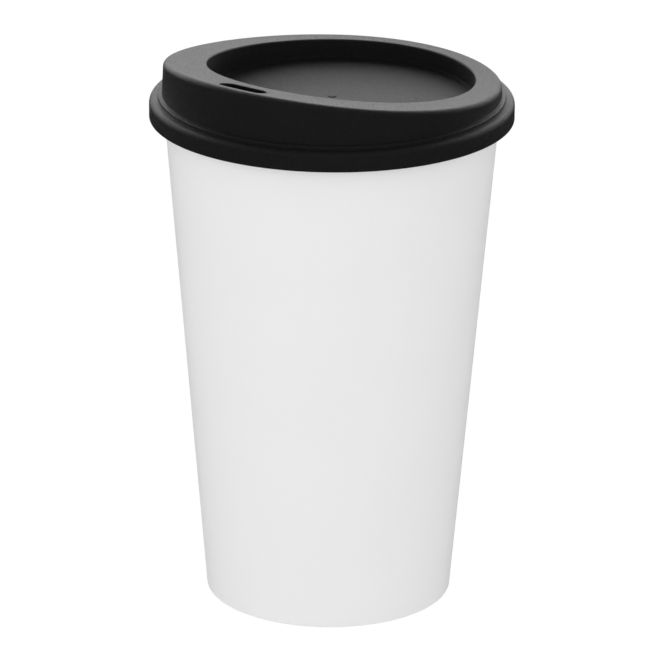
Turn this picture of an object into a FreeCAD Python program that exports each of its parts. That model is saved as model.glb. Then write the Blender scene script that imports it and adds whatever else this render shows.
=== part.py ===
"""Paper coffee cup with a moulded sip lid.

The origin is the centre of the cup's foot, +Z points up and the sip slot is at the front, on the
-Y side. The cup is a paper sidewall with a rolled rim and a folded foot, and a paper bottom whose
flange is held in that fold. The lid is one moulding that clips over the rim.
"""
import FreeCAD, Part
import math
import os
import Sketcher

doc = FreeCAD.newDocument("CoffeeCup")

# Driving dimensions, in millimetres and degrees

DIMENSIONS = [
    # Cup
    ("cup_height", 133.8),
    ("base_diameter", 64.3),
    ("rim_diameter", 91.3),
    ("curl_diameter", 2.7),
    ("curl_turn", 285),
    ("wall_paper", 0.35),
    ("bottom_paper", 0.3),
    ("bottom_rise", 9.0),
    ("bottom_bend", 0.6),
    ("tuck_rise", 7.0),
    ("foot_round", 0.25),
    ("seam_width", 8.0),
    ("seam_step", 0.25),
    # Lid, outside
    ("lid_wall", 0.9),
    ("skirt_gap", 0.45),
    ("skirt_below_bead", 1.35),
    ("brim_edge_rise", 0.72),
    ("brim_round", 1.5),
    ("step_inset", 2.25),
    ("step_foot_rise", 0.85),
    ("step_rise", 1.75),
    ("step_round", 0.4),
    ("dome_over_mouth", 0.75),
    ("dome_foot_rise", 1.9),
    ("dome_draft", 1.2),
    ("dome_round", 1.5),
    ("arch_low_rise", 4.4),
    ("arch_radius", 420),
    # Lid, recess, slot and gate mark
    ("front_land", 13.3),
    ("back_land", 5.3),
    ("recess_drop", 0.3),
    ("recess_draft", 1.5),
    ("recess_round", 0.5),
    ("recess_floor_round", 0.8),
    ("slot_length", 13.5),
    ("slot_width", 5.8),
    ("slot_land", 3.0),
    ("gate_diameter", 2.2),
    ("gate_height", 0.15),
    ("gate_side", 2.2),
    ("gate_back", 3.1),
    # Lid, inside
    ("plug_gap", 0.2),
    ("plug_depth", 3.2),
    ("plug_wall", 0.9),
    ("plug_flare", 1.1),
    ("channel_round", 1.2),
    ("bead_gap", 0.1),
    ("bead_radius", 0.8),
    ("bead_below_curl", 0.2),
    ("skirt_lead", 0.35),
]

sheet = doc.addObject("Spreadsheet::Sheet", "Sizes")
for row, (alias, size) in enumerate(DIMENSIONS, start=1):
    sheet.set("A%d" % row, alias.replace("_", " "))
    sheet.set("B%d" % row, str(size))
    sheet.setAlias("B%d" % row, alias)
doc.recompute()


def cell(alias):
    return "Sizes." + alias


# Places worked out from the driving dimensions, as expressions

BASE_R = "(Sizes.base_diameter / 2)"
CURL_R = "(Sizes.curl_diameter / 2)"
CURL_BORE = "(%s - Sizes.wall_paper)" % CURL_R
CURL_X = "(Sizes.rim_diameter / 2 - %s)" % CURL_R
CURL_Z = "(Sizes.cup_height - %s)" % CURL_R
# The wall leans so that it runs tangent into the rolled rim
LEAN = "(atan((%s - %s) / %s) - asin(%s / sqrt((%s - %s)^2 + %s^2)))" % (
    CURL_X, BASE_R, CURL_Z, CURL_BORE, CURL_X, BASE_R, CURL_Z)
CURL_END = "(180 deg - %s - Sizes.curl_turn * 1 deg)" % LEAN
SEAT = cell("cup_height")
BEAD_Z = "(%s - Sizes.curl_diameter - Sizes.bead_below_curl)" % SEAT
SKIRT_BOTTOM = "(%s - Sizes.skirt_below_bead)" % BEAD_Z
SKIRT_BORE = "(Sizes.rim_diameter / 2 + Sizes.skirt_gap)"
BRIM_R = "(%s + Sizes.lid_wall)" % SKIRT_BORE
STEP_R = "(%s - Sizes.step_inset)" % BRIM_R
DOME_R = "(Sizes.rim_diameter / 2 - Sizes.curl_diameter + Sizes.dome_over_mouth)"
DOME_FOOT = "(%s + Sizes.dome_foot_rise)" % SEAT
ARCH_LOW = "(%s + Sizes.arch_low_rise)" % SEAT
ARCH_Z = "(%s + Sizes.arch_radius)" % ARCH_LOW
BLANK_TOP = "(%s + %s / 2)" % (ARCH_LOW, BRIM_R)
RECESS_R = "(%s - (Sizes.front_land + Sizes.back_land) / 2)" % DOME_R
RECESS_Y = "((Sizes.front_land - Sizes.back_land) / 2)"
RECESS_FLOOR = "(%s - Sizes.recess_drop)" % SEAT


def outer_wall(height):
    """Radius of the cup's outer face at a height."""
    return "(%s + %s * tan(%s))" % (BASE_R, height, LEAN)


def inside(radius, thickness):
    """A radius moved inwards by a thickness measured square to the leaning wall."""
    return "(%s - (%s) / cos(%s))" % (radius, thickness, LEAN)


def inner_wall(height):
    """Radius of the cup's inner face at a height."""
    return inside(outer_wall(height), cell("wall_paper"))


# Helpers for sketches and features

def plane(body, role):
    for feature in body.Origin.OriginFeatures:
        if feature.Role == role:
            return feature


def new_sketch(body, name, role):
    sketch = body.newObject("Sketcher::SketchObject", name)
    sketch.AttachmentSupport = [(plane(body, role), "")]
    sketch.MapMode = "FlatFace"
    return sketch


def number(sketch, expression):
    result = sketch.evalExpression(expression)
    return float(getattr(result, "Value", result))


def tie(sketch, kind, place, expression):
    """Drive one coordinate of a sketch point by an expression."""
    value = number(sketch, expression)
    index = sketch.addConstraint(Sketcher.Constraint(kind, -1, 1, place[0], place[1], value))
    sketch.setExpression("Constraints[%d]" % index, expression)


def tie_point(sketch, place, x, y):
    tie(sketch, "DistanceX", place, x)
    tie(sketch, "DistanceY", place, y)


def outline(sketch, steps):
    """Draw a closed outline.

    A step is (x, y) for a straight side to that corner, or (x, y, centre x, centre y, way) for an
    arc to it, where way is +1 for anticlockwise. The last step ends where the first side starts.
    """
    corners = [(number(sketch, step[0]), number(sketch, step[1])) for step in steps]
    for index, step in enumerate(steps):
        start = corners[index - 1]
        end = corners[index]
        first = FreeCAD.Vector(start[0], start[1], 0)
        last = FreeCAD.Vector(end[0], end[1], 0)
        if len(step) == 2:
            sketch.addGeometry(Part.LineSegment(first, last))
            continue
        centre = FreeCAD.Vector(number(sketch, step[2]), number(sketch, step[3]), 0)
        turn = [math.atan2(p.y - centre.y, p.x - centre.x) for p in (first, last)]
        if step[4] < 0:
            turn.reverse()
        circle = Part.Circle(centre, FreeCAD.Vector(0, 0, 1), (first - centre).Length)
        sketch.addGeometry(Part.ArcOfCircle(circle, turn[0], turn[1]))
    starts = [2 if len(step) == 5 and step[4] < 0 else 1 for step in steps]
    for index, step in enumerate(steps):
        following = (index + 1) % len(steps)
        end = 3 - starts[index]
        sketch.addConstraint(
            Sketcher.Constraint("Coincident", index, end, following, starts[following]))
        if len(step) == 2:
            tie_point(sketch, (index, end), step[0], step[1])
            continue
        tie_point(sketch, (index, 3), step[2], step[3])
        # The circle already fixes one coordinate of the arc's end
        across = corners[index][0] - number(sketch, step[2])
        along = corners[index][1] - number(sketch, step[3])
        if abs(across) < abs(along):
            tie(sketch, "DistanceX", (index, end), step[0])
        else:
            tie(sketch, "DistanceY", (index, end), step[1])


def axis_line(sketch, x, y):
    """Construction line along +Y of the sketch, for turning about; returns its name."""
    start = FreeCAD.Vector(number(sketch, x), number(sketch, y), 0)
    index = sketch.addGeometry(Part.LineSegment(start, start + FreeCAD.Vector(0, 10, 0)), True)
    tie_point(sketch, (index, 1), x, y)
    sketch.addConstraint(Sketcher.Constraint("Vertical", index))
    tie(sketch, "DistanceY", (index, 2), "%s + 10" % y)
    return "Axis0"


def turn_about(body, kind, name, sketch, axis="V_Axis"):
    """Full revolution or groove of a sketch about one of its lines."""
    feature = body.newObject("PartDesign::" + kind, name)
    feature.Profile = sketch
    feature.ReferenceAxis = (sketch, [axis])
    feature.Angle = 360
    sketch.Visibility = False
    doc.recompute()
    return feature


def cut_through(body, name, sketch):
    """Pocket of a sketch both ways through everything."""
    feature = body.newObject("PartDesign::Pocket", name)
    feature.Profile = sketch
    feature.SideType = "Symmetric"
    feature.Type = "ThroughAll"
    sketch.Visibility = False
    doc.recompute()
    return feature


def edge_names(shape, belongs):
    """Names of the edges for which a test of the edge's points holds."""
    names = []
    for index, edge in enumerate(shape.Edges, start=1):
        if edge.Length > 0.001 and belongs(edge.discretize(9)):
            names.append("Edge%d" % index)
    return names


def round_edges(body, name, alias, belongs):
    """Fillet, with its radius from the sheet, on the edges that pass a test."""
    base = body.Tip
    feature = body.newObject("PartDesign::Fillet", name)
    feature.Base = (base, edge_names(base.Shape, belongs))
    feature.setExpression("Radius", cell(alias))
    doc.recompute()
    return feature


def on_circle(radius, height, centre_y=0.0):
    """Test for edges that lie on a level circle."""
    def belongs(points):
        return all(
            abs(math.hypot(p.x, p.y - centre_y) - radius) < 0.01 and abs(p.z - height) < 0.01
            for p in points)
    return belongs


def size(expression):
    """Present value of an expression, for picking edges."""
    result = sheet.evalExpression(expression.replace("Sizes.", ""))
    return float(getattr(result, "Value", result))


# Sidewall: one blank rolled to a cone, its foot folded in and up, its top rolled outwards

wall_body = doc.addObject("PartDesign::Body", "WallBody")
wall_section = new_sketch(wall_body, "WallSection", "XZ_Plane")
flange_out = inner_wall(cell("wall_paper"))
flange_in = inside(flange_out, cell("bottom_paper"))
tuck_out = inside(inner_wall(cell("tuck_rise")), cell("bottom_paper"))
tuck_in = inside(tuck_out, cell("wall_paper"))
fold_in = inside(BASE_R, "2 * Sizes.wall_paper + Sizes.bottom_paper")
outline(wall_section, [
    (BASE_R, "0"),
    ("%s - %s * cos(%s)" % (CURL_X, CURL_BORE, LEAN),
     "%s + %s * sin(%s)" % (CURL_Z, CURL_BORE, LEAN)),
    ("%s + %s * cos(%s)" % (CURL_X, CURL_BORE, CURL_END),
     "%s + %s * sin(%s)" % (CURL_Z, CURL_BORE, CURL_END), CURL_X, CURL_Z, -1),
    ("%s + %s * cos(%s)" % (CURL_X, CURL_R, CURL_END),
     "%s + %s * sin(%s)" % (CURL_Z, CURL_R, CURL_END)),
    ("%s - %s * cos(%s)" % (CURL_X, CURL_R, LEAN),
     "%s + %s * sin(%s)" % (CURL_Z, CURL_R, LEAN), CURL_X, CURL_Z, 1),
    (flange_out, cell("wall_paper")),
    (flange_in, cell("wall_paper")),
    (tuck_out, cell("tuck_rise")),
    (tuck_in, cell("tuck_rise")),
    (fold_in, "0"),
])
turn_about(wall_body, "Revolution", "WallOfRevolution", wall_section)
round_edges(wall_body, "FootRound", "foot_round", on_circle(size(BASE_R), 0.0))

# Side seam: the blank's glued lap, a strip of even width up the back

lap_outer = doc.addObject("Part::Cone", "LapOuter")
lap_inner = doc.addObject("Part::Cone", "LapInner")
for cone, proud in ((lap_outer, "Sizes.seam_step"), (lap_inner, "-Sizes.wall_paper / 2")):
    cone.setExpression("Radius1", "%s + %s" % (outer_wall("0"), proud))
    cone.setExpression("Radius2", "%s + %s" % (outer_wall(CURL_Z), proud))
    cone.setExpression("Height", CURL_Z)
lap_shell = doc.addObject("Part::Cut", "LapShell")
lap_shell.Base = lap_outer
lap_shell.Tool = lap_inner
lap_width = doc.addObject("Part::Box", "LapWidth")
lap_width.setExpression("Length", cell("seam_width"))
lap_width.setExpression("Width", cell("rim_diameter"))
lap_width.setExpression("Height", "%s - %s" % (CURL_Z, CURL_R))
lap_width.setExpression("Placement.Base.x", "-Sizes.seam_width / 2")
lap = doc.addObject("Part::Common", "Lap")
lap.Base = lap_shell
lap.Tool = lap_width
sidewall = doc.addObject("Part::Fuse", "Sidewall")
sidewall.Base = wall_body
sidewall.Tool = lap
sidewall.Label = "cup_sidewall"
doc.recompute()

# Bottom: a disc with its rim turned down into the fold of the foot

bottom = doc.addObject("PartDesign::Body", "Bottom")
bottom.Label = "cup_bottom"
bottom_section = new_sketch(bottom, "BottomSection", "XZ_Plane")
bottom_top = "(Sizes.bottom_rise + Sizes.bottom_paper)"
corner_in = inside(inner_wall(cell("bottom_rise")), cell("bottom_paper"))
outline(bottom_section, [
    ("0", cell("bottom_rise")),
    (corner_in, cell("bottom_rise")),
    (flange_in, cell("wall_paper")),
    (flange_out, cell("wall_paper")),
    (inner_wall(bottom_top), bottom_top),
    ("0", bottom_top),
])
turn_about(bottom, "Revolution", "BottomOfRevolution", bottom_section)
round_edges(bottom, "BottomBend", "bottom_bend",
            on_circle(size(inner_wall(bottom_top)), size(bottom_top)))

# Lid core: the space that the moulding's core fills, under the dome and round the recess

core = doc.addObject("PartDesign::Body", "LidCore")
core_section = new_sketch(core, "CoreSection", "XZ_Plane")
plug_out_top = "(%s - Sizes.plug_gap)" % inner_wall(SEAT)
plug_bottom = "(%s - Sizes.plug_depth)" % SEAT
plug_out_bottom = "(%s - Sizes.plug_gap)" % inner_wall(plug_bottom)
plug_bore = "(%s - Sizes.plug_wall)" % plug_out_bottom
dome_bore = "(%s - Sizes.lid_wall)" % DOME_R
core_bottom = "(%s - Sizes.lid_wall)" % SKIRT_BOTTOM
core_flare = "(%s + Sizes.plug_flare)" % SEAT
core_top_r = "(%s - (%s - %s) * tan(Sizes.dome_draft * 1 deg))" % (dome_bore, BLANK_TOP, core_flare)
outline(core_section, [
    ("0", core_bottom),
    (plug_bore, core_bottom),
    (plug_bore, SEAT),
    (dome_bore, core_flare),
    (core_top_r, BLANK_TOP),
    ("0", BLANK_TOP),
])
turn_about(core, "Revolution", "CoreOfRevolution", core_section)


def arch_outline(sketch, radius):
    """Everything above the arched top: level at the back, rising towards the slot."""
    reach = "(%s + Sizes.lid_wall)" % BRIM_R
    front = "(%s - sqrt(%s^2 - (%s + %s)^2))" % (ARCH_Z, radius, reach, DOME_R)
    back = "(%s - sqrt(%s^2 - (%s - %s)^2))" % (ARCH_Z, radius, reach, DOME_R)
    above = "(%s + %s)" % (BLANK_TOP, cell("lid_wall"))
    outline(sketch, [
        ("-" + reach, above),
        ("-" + reach, front),
        (reach, back, DOME_R, ARCH_Z, 1),
        (reach, above),
    ])


def recess_outline(sketch, grow):
    """Half section of the recess, or of the wall round it, about the recess's own axis."""
    centre = RECESS_Y
    floor = "(%s - %s)" % (RECESS_FLOOR, grow)
    above = "(%s + 2 * Sizes.lid_wall)" % BLANK_TOP
    radius = "(%s + %s + %s)" % (centre, RECESS_R, grow)
    outline(sketch, [
        (centre, floor),
        (radius, floor),
        ("%s + (%s - %s) * tan(Sizes.recess_draft * 1 deg)" % (radius, above, floor), above),
        (centre, above),
    ])
    return axis_line(sketch, centre, floor)


core_arch = new_sketch(core, "CoreArch", "YZ_Plane")
arch_outline(core_arch, "(Sizes.arch_radius + Sizes.lid_wall)")
cut_through(core, "CoreUnderArch", core_arch)
core_recess = new_sketch(core, "CoreRecess", "YZ_Plane")
core_recess_axis = recess_outline(core_recess, cell("lid_wall"))
turn_about(core, "Groove", "CoreRoundRecess", core_recess, core_recess_axis)

# Lid: outside form, arched top, recess, then the core, the rim channel, slot and gate mark


def rounded_shoulder(edge, inner, radius):
    """Steps that round the corner between an upright face and the slope from it to an inner point."""
    slope = "(atan((%s - %s) / (%s - %s)))" % (inner[1], edge[1], edge[0], inner[0])
    reach = "(%s * tan((90 deg - %s) / 2))" % (radius, slope)
    upright_end = "(%s - %s)" % (edge[1], reach)
    return [
        (edge[0], upright_end),
        ("%s - %s * cos(%s)" % (edge[0], reach, slope),
         "%s + %s * sin(%s)" % (edge[1], reach, slope),
         "(%s - %s)" % (edge[0], radius), upright_end, 1),
    ]


lid = doc.addObject("PartDesign::Body", "Lid")
lid.Label = "lid"
lid_section = new_sketch(lid, "LidSection", "XZ_Plane")
dome_top_r = "(%s - (%s - %s) * tan(Sizes.dome_draft * 1 deg))" % (DOME_R, BLANK_TOP, DOME_FOOT)
brim_edge = (BRIM_R, "(%s + Sizes.brim_edge_rise)" % SEAT)
step_foot = (STEP_R, "(%s + Sizes.step_foot_rise)" % SEAT)
step_edge = (STEP_R, "(%s + Sizes.step_rise)" % SEAT)
dome_foot = (DOME_R, DOME_FOOT)
outline(lid_section, [
    ("0", SKIRT_BOTTOM),
    (BRIM_R, SKIRT_BOTTOM),
    *rounded_shoulder(brim_edge, step_foot, cell("brim_round")),
    step_foot,
    *rounded_shoulder(step_edge, dome_foot, cell("step_round")),
    dome_foot,
    (dome_top_r, BLANK_TOP),
    ("0", BLANK_TOP),
])
turn_about(lid, "Revolution", "LidOfRevolution", lid_section)
lid_arch = new_sketch(lid, "LidArch", "YZ_Plane")
arch_outline(lid_arch, cell("arch_radius"))
cut_through(lid, "ArchedTop", lid_arch)
lid_recess = new_sketch(lid, "LidRecess", "YZ_Plane")
lid_recess_axis = recess_outline(lid_recess, "0")
turn_about(lid, "Groove", "Recess", lid_recess, lid_recess_axis)


def on_arch(points):
    """Test for the whole edges that bound the arched top."""
    low = size(ARCH_LOW)
    return min(p.z for p in points) > low - 0.05 and max(p.z for p in points) > low + 0.05


def round_dome(points):
    return on_arch(points) and all(math.hypot(p.x, p.y) > size(DOME_R) - 1 for p in points)


def round_recess(points):
    return on_arch(points) and all(math.hypot(p.x, p.y) < size(DOME_R) - 1 for p in points)


round_edges(lid, "RecessFloorRound", "recess_floor_round",
            on_circle(size(RECESS_R), size(RECESS_FLOOR), size(RECESS_Y)))
round_edges(lid, "RecessRound", "recess_round", round_recess)
round_edges(lid, "DomeRound", "dome_round", round_dome)

hollow = lid.newObject("PartDesign::Boolean", "HollowUnderDome")
hollow.setObjects([core])
hollow.Type = "Cut"
doc.recompute()

# The channel takes the rolled rim; a bead low on the skirt clips under it
channel_section = new_sketch(lid, "ChannelSection", "XZ_Plane")
channel_roof = "(%s - Sizes.channel_round)" % SEAT
skirt_open = "(%s + Sizes.skirt_lead)" % SKIRT_BORE
skirt_lead_top = "(%s + Sizes.skirt_lead)" % SKIRT_BOTTOM
bead_x = "(Sizes.rim_diameter / 2 + Sizes.bead_gap + Sizes.bead_radius)"
bead_half = "sqrt(Sizes.bead_radius^2 - (%s - %s)^2)" % (bead_x, SKIRT_BORE)
outline(channel_section, [
    (plug_bore, core_bottom),
    (skirt_open, core_bottom),
    (skirt_open, SKIRT_BOTTOM),
    (SKIRT_BORE, skirt_lead_top),
    (SKIRT_BORE, "%s - %s" % (BEAD_Z, bead_half)),
    (SKIRT_BORE, "%s + %s" % (BEAD_Z, bead_half), bead_x, BEAD_Z, -1),
    (SKIRT_BORE, channel_roof),
    ("%s - Sizes.channel_round" % SKIRT_BORE, SEAT,
     "%s - Sizes.channel_round" % SKIRT_BORE, channel_roof, 1),
    (plug_out_top, SEAT),
    (plug_out_bottom, plug_bottom),
    (plug_bore, plug_bottom),
])
turn_about(lid, "Groove", "RimChannel", channel_section)

slot_sketch = new_sketch(lid, "SlotSketch", "XY_Plane")
slot_r = "(Sizes.slot_width / 2)"
slot_y = "-(%s - Sizes.slot_land - %s)" % (DOME_R, slot_r)
slot_half = "(Sizes.slot_length / 2 - %s)" % slot_r
outline(slot_sketch, [
    ("-" + slot_half, "%s - %s" % (slot_y, slot_r), "-" + slot_half, slot_y, 1),
    (slot_half, "%s - %s" % (slot_y, slot_r)),
    (slot_half, "%s + %s" % (slot_y, slot_r), slot_half, slot_y, 1),
    ("-" + slot_half, "%s + %s" % (slot_y, slot_r)),
])
cut_through(lid, "SipSlot", slot_sketch)

gate_sketch = new_sketch(lid, "GateSketch", "XY_Plane")
gate_sketch.setExpression("AttachmentOffset.Base.z", RECESS_FLOOR)
gate_circle = gate_sketch.addGeometry(Part.Circle(
    FreeCAD.Vector(-size(cell("gate_side")), size(cell("gate_back")), 0),
    FreeCAD.Vector(0, 0, 1), size(cell("gate_diameter")) / 2))
tie_point(gate_sketch, (gate_circle, 3), "-Sizes.gate_side", cell("gate_back"))
gate_width = gate_sketch.addConstraint(
    Sketcher.Constraint("Diameter", gate_circle, size(cell("gate_diameter"))))
gate_sketch.setExpression("Constraints[%d]" % gate_width, cell("gate_diameter"))
gate_mark = lid.newObject("PartDesign::Pad", "GateMark")
gate_mark.Profile = gate_sketch
gate_mark.setExpression("Length", cell("gate_height"))
gate_sketch.Visibility = False
doc.recompute()

# Check everything, then write each sub-part to a file named after its label

for thing in doc.Objects:
    faults = {"Invalid", "Error"} & set(thing.State)
    if faults:
        raise RuntimeError("%s is %s" % (thing.Label, ", ".join(sorted(faults))))

os.makedirs("parts", exist_ok=True)
for piece in (sidewall, bottom, lid):
    if piece.Shape.isNull() or not piece.Shape.isValid() or len(piece.Shape.Solids) != 1:
        raise RuntimeError("%s is not one sound solid" % piece.Label)
    piece.Shape.exportStep("parts/%s.step" % piece.Label)
    box = piece.Shape.BoundBox
    print("%s: %.1f mm3, x %.2f..%.2f, y %.2f..%.2f, z %.2f..%.2f" % (
        piece.Label, piece.Shape.Volume, box.XMin, box.XMax, box.YMin, box.YMax, box.ZMin, box.ZMax))
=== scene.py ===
# %% [markdown]
# # A paper coffee cup with a moulded sip lid
# The object is a tall hot-drink cup: a sidewall rolled from one paper blank, a paper bottom held in
# the folded foot, and a black plastic lid that clips over the rolled rim. The solids come first,
# packed as a frame, and this script gives them finer surfaces and real finishes without moving
# anything.

# %% Load the imported frame
import math
import bmesh
import bpy
from mathutils import Matrix, Vector


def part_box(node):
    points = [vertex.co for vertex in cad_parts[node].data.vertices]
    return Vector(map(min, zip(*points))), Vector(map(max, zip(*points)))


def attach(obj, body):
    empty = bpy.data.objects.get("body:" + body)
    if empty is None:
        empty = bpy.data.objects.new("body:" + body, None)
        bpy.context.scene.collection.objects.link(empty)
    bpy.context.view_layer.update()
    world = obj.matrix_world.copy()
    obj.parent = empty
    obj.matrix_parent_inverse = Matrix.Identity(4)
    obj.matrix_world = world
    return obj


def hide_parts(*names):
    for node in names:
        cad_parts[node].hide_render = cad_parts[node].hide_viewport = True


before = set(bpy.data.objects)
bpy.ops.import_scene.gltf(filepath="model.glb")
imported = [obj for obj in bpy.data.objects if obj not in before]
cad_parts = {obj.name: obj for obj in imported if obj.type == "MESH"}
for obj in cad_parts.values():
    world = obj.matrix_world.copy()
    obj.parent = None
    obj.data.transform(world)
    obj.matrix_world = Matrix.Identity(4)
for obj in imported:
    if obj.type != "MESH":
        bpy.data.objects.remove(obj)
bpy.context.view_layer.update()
MM = 0.001

# %% [markdown]
# ## Sizes read from the frame
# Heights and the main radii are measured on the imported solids, so the dressed pieces follow them if
# they change. Sizes that a box can't show, such as the thickness of the board, are written once,
# where they are first used. Everything is in millimetres until a mesh is made.

# %% Read the main sizes
def radii_near(node, low, high):
    """Distances from the axis of a solid's corner points between two heights, front half only."""
    corners = [v.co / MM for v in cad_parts[node].data.vertices]
    return [math.hypot(c.x, c.y) for c in corners if low <= c.z <= high and c.y < 0]


def box_mm(node):
    """The two outer corners of a solid's box."""
    low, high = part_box(node)
    return Vector(low) / MM, Vector(high) / MM


CUP_HEIGHT = box_mm("cup_sidewall")[1].z
RIM_R = box_mm("cup_sidewall")[1].x
BRIM_R = box_mm("lid")[1].x
SKIRT_BOTTOM = box_mm("lid")[0].z
LID_TOP = box_mm("lid")[1].z
BOTTOM_TOP = box_mm("cup_bottom")[1].z
FLANGE_FOOT = box_mm("cup_bottom")[0].z
FOOT_ROUND = 0.25
ROUND_REACH = 0.92
TABLE_HEIGHT = 0.001
foot_flat = max(radii_near("cup_sidewall", -TABLE_HEIGHT, TABLE_HEIGHT))
BASE_R = foot_flat + ROUND_REACH * FOOT_ROUND
print("cup %.1f tall, rim %.1f across, foot %.1f across; lid %.1f to %.1f, %.1f across" % (
    CUP_HEIGHT, 2 * RIM_R, 2 * BASE_R, SKIRT_BOTTOM, LID_TOP, 2 * BRIM_R))

# %% [markdown]
# ## Drawing sections
# Nearly every surface here is turned or follows a turned one, so the script draws half sections as
# lists of points, radius and height, and then skins them. A corner of a moulding or of pressed paper
# is never knife sharp, so one helper rounds a corner with a true arc. That is simpler to control
# than a bevel modifier, and it puts the rounding only where the real piece has it.

# %% Helpers for sections
def arc(centre, radius, start, end, steps):
    """Points on an arc, angles in degrees."""
    angles = [math.radians(start + (end - start) * i / steps) for i in range(steps + 1)]
    return [(centre[0] + radius * math.cos(a), centre[1] + radius * math.sin(a)) for a in angles]


def rounded(before, corner, after, radius, steps=5):
    """The arc that rounds a corner between two straight runs."""
    corner = Vector(corner)
    back = (Vector(before) - corner).normalized()
    on = (Vector(after) - corner).normalized()
    half = back.angle(on) / 2
    reach = radius / math.tan(half)
    middle = corner + (back + on).normalized() * radius / math.sin(half)
    first = corner + back * reach - middle
    last = corner + on * reach - middle
    sweep = math.atan2(first.x * last.y - first.y * last.x, first.dot(last))
    points = []
    for i in range(steps + 1):
        spoke = Matrix.Rotation(sweep * i / steps, 2) @ first
        points.append(tuple(middle + spoke))
    return points


def straight(start, end, steps):
    """Points from start towards end, without the end itself."""
    return [tuple(Vector(start).lerp(Vector(end), i / steps)) for i in range(steps)]


def softened(corners, steps=4):
    """An open section whose inner corners, given as (radius, height, rounding), are rounded."""
    points = [corners[0][:2]]
    for before, (x, z, radius), after in zip(corners, corners[1:], corners[2:]):
        if radius > 0:
            points += rounded(before[:2], (x, z), after[:2], radius, steps)
        else:
            points.append((x, z))
    return points + [corners[-1][:2]]


# %% Helpers for meshes
def bands(rings):
    """Quads between neighbouring closed rings, each a list of point numbers."""
    faces = []
    for low, high in zip(rings, rings[1:]):
        for i in range(len(low)):
            j = (i + 1) % len(low)
            faces.append((low[i], low[j], high[j], high[i]))
    return faces


def finish_mesh(mesh, sharp_over=38):
    """Turns faces outwards, shades smooth and keeps real edges crisp; prints the volume in mm3."""
    shell = bmesh.new()
    shell.from_mesh(mesh)
    bmesh.ops.recalc_face_normals(shell, faces=shell.faces)
    volume = shell.calc_volume(signed=True) / MM ** 3
    if volume < 0:
        bmesh.ops.reverse_faces(shell, faces=shell.faces)
    open_edges = sum(1 for e in shell.edges if not e.is_manifold)
    shell.to_mesh(mesh)
    shell.free()
    mesh.shade_smooth()
    mesh.set_sharp_from_angle(angle=math.radians(sharp_over))
    mesh.calc_loop_triangles()
    print("%s: %d triangles, %.0f mm3, %d open edges" % (
        mesh.name, len(mesh.loop_triangles), abs(volume), open_edges))


def linked(name, data):
    """A new object in the scene that holds a mesh, a lamp or a camera."""
    fresh = bpy.data.objects.new(name, data)
    bpy.context.scene.collection.objects.link(fresh)
    return fresh


def new_piece(name, points, faces):
    """A mesh object at the origin, from points in millimetres."""
    mesh = bpy.data.meshes.new(name)
    mesh.from_pydata([tuple(c * MM for c in p) for p in points], [], faces)
    return linked(name, mesh)


def even_normals(piece):
    """Keeps large flat or conical faces evenly shaded beside their small roundings."""
    weighted = piece.modifiers.new("EvenNormals", "WEIGHTED_NORMAL")
    weighted.keep_sharp = True


def plain_mesh(piece):
    """Replaces a piece's modifiers by the mesh that they make."""
    evaluated = piece.evaluated_get(bpy.context.evaluated_depsgraph_get())
    mesh = bpy.data.meshes.new_from_object(evaluated)
    name = piece.name
    bpy.data.objects.remove(piece)
    mesh.name = name
    return linked(name, mesh)


print("section and mesh helpers ready")

# %% [markdown]
# ## Finishes: helpers
# Each finish is procedural and reads Object coordinates, which stay fixed on a piece when it moves.
# A noise in metres needs a high scale: 1000 gives features of about a millimetre. The helpers keep
# the three layers of a finish apart: colour that drifts a little, roughness that varies, and a fine
# bump.

# %% Helpers for materials
NOISE_TURN = (0.62, 0.41, 0.93)


def new_finish(name):
    """A material with its shader and its Object coordinates."""
    material = bpy.data.materials.new(name)
    material.use_nodes = True
    nodes = material.node_tree.nodes
    shader = nodes["Principled BSDF"]
    where = nodes.new("ShaderNodeTexCoord")
    return material, shader, where.outputs["Object"]


def noise(material, where, scale, detail=3.0, roughness=0.5, stretch=(1, 1, 1)):
    """A noise; an unstretched one is turned, so that no level face lies square to its cells."""
    nodes = material.node_tree.nodes
    links = material.node_tree.links
    mapping = nodes.new("ShaderNodeMapping")
    mapping.inputs["Scale"].default_value = stretch
    mapping.inputs["Rotation"].default_value = NOISE_TURN if stretch == (1, 1, 1) else (0, 0, 0)
    texture = nodes.new("ShaderNodeTexNoise")
    texture.inputs["Scale"].default_value = scale
    texture.inputs["Detail"].default_value = detail
    texture.inputs["Roughness"].default_value = roughness
    links.new(where, mapping.inputs["Vector"])
    links.new(mapping.outputs["Vector"], texture.inputs["Vector"])
    return texture.outputs["Fac"]


def ranged(material, value, low, high, from_low=0.3, from_high=0.7):
    """Maps the middle of a noise to a range of values."""
    node = material.node_tree.nodes.new("ShaderNodeMapRange")
    node.inputs["From Min"].default_value = from_low
    node.inputs["From Max"].default_value = from_high
    node.inputs["To Min"].default_value = low
    node.inputs["To Max"].default_value = high
    material.node_tree.links.new(value, node.inputs["Value"])
    return node.outputs["Result"]


def mixed(material, factor, first, second):
    """A colour between two, each an RGB triple or a socket."""
    node = material.node_tree.nodes.new("ShaderNodeMix")
    node.data_type = "RGBA"
    links = material.node_tree.links
    links.new(factor, node.inputs[0])
    for socket, colour in ((node.inputs[6], first), (node.inputs[7], second)):
        if isinstance(colour, tuple):
            socket.default_value = (*colour, 1)
        else:
            links.new(colour, socket)
    return node.outputs[2]


def blended(material, factor, first, second):
    """A number between two, each a number or a socket; the world takes it too."""
    node = material.node_tree.nodes.new("ShaderNodeMix")
    node.data_type = "FLOAT"
    links = material.node_tree.links
    links.new(factor, node.inputs[0])
    for socket, value in ((node.inputs[2], first), (node.inputs[3], second)):
        if isinstance(value, (int, float)):
            socket.default_value = value
        else:
            links.new(value, socket)
    return node.outputs[0]


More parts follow.
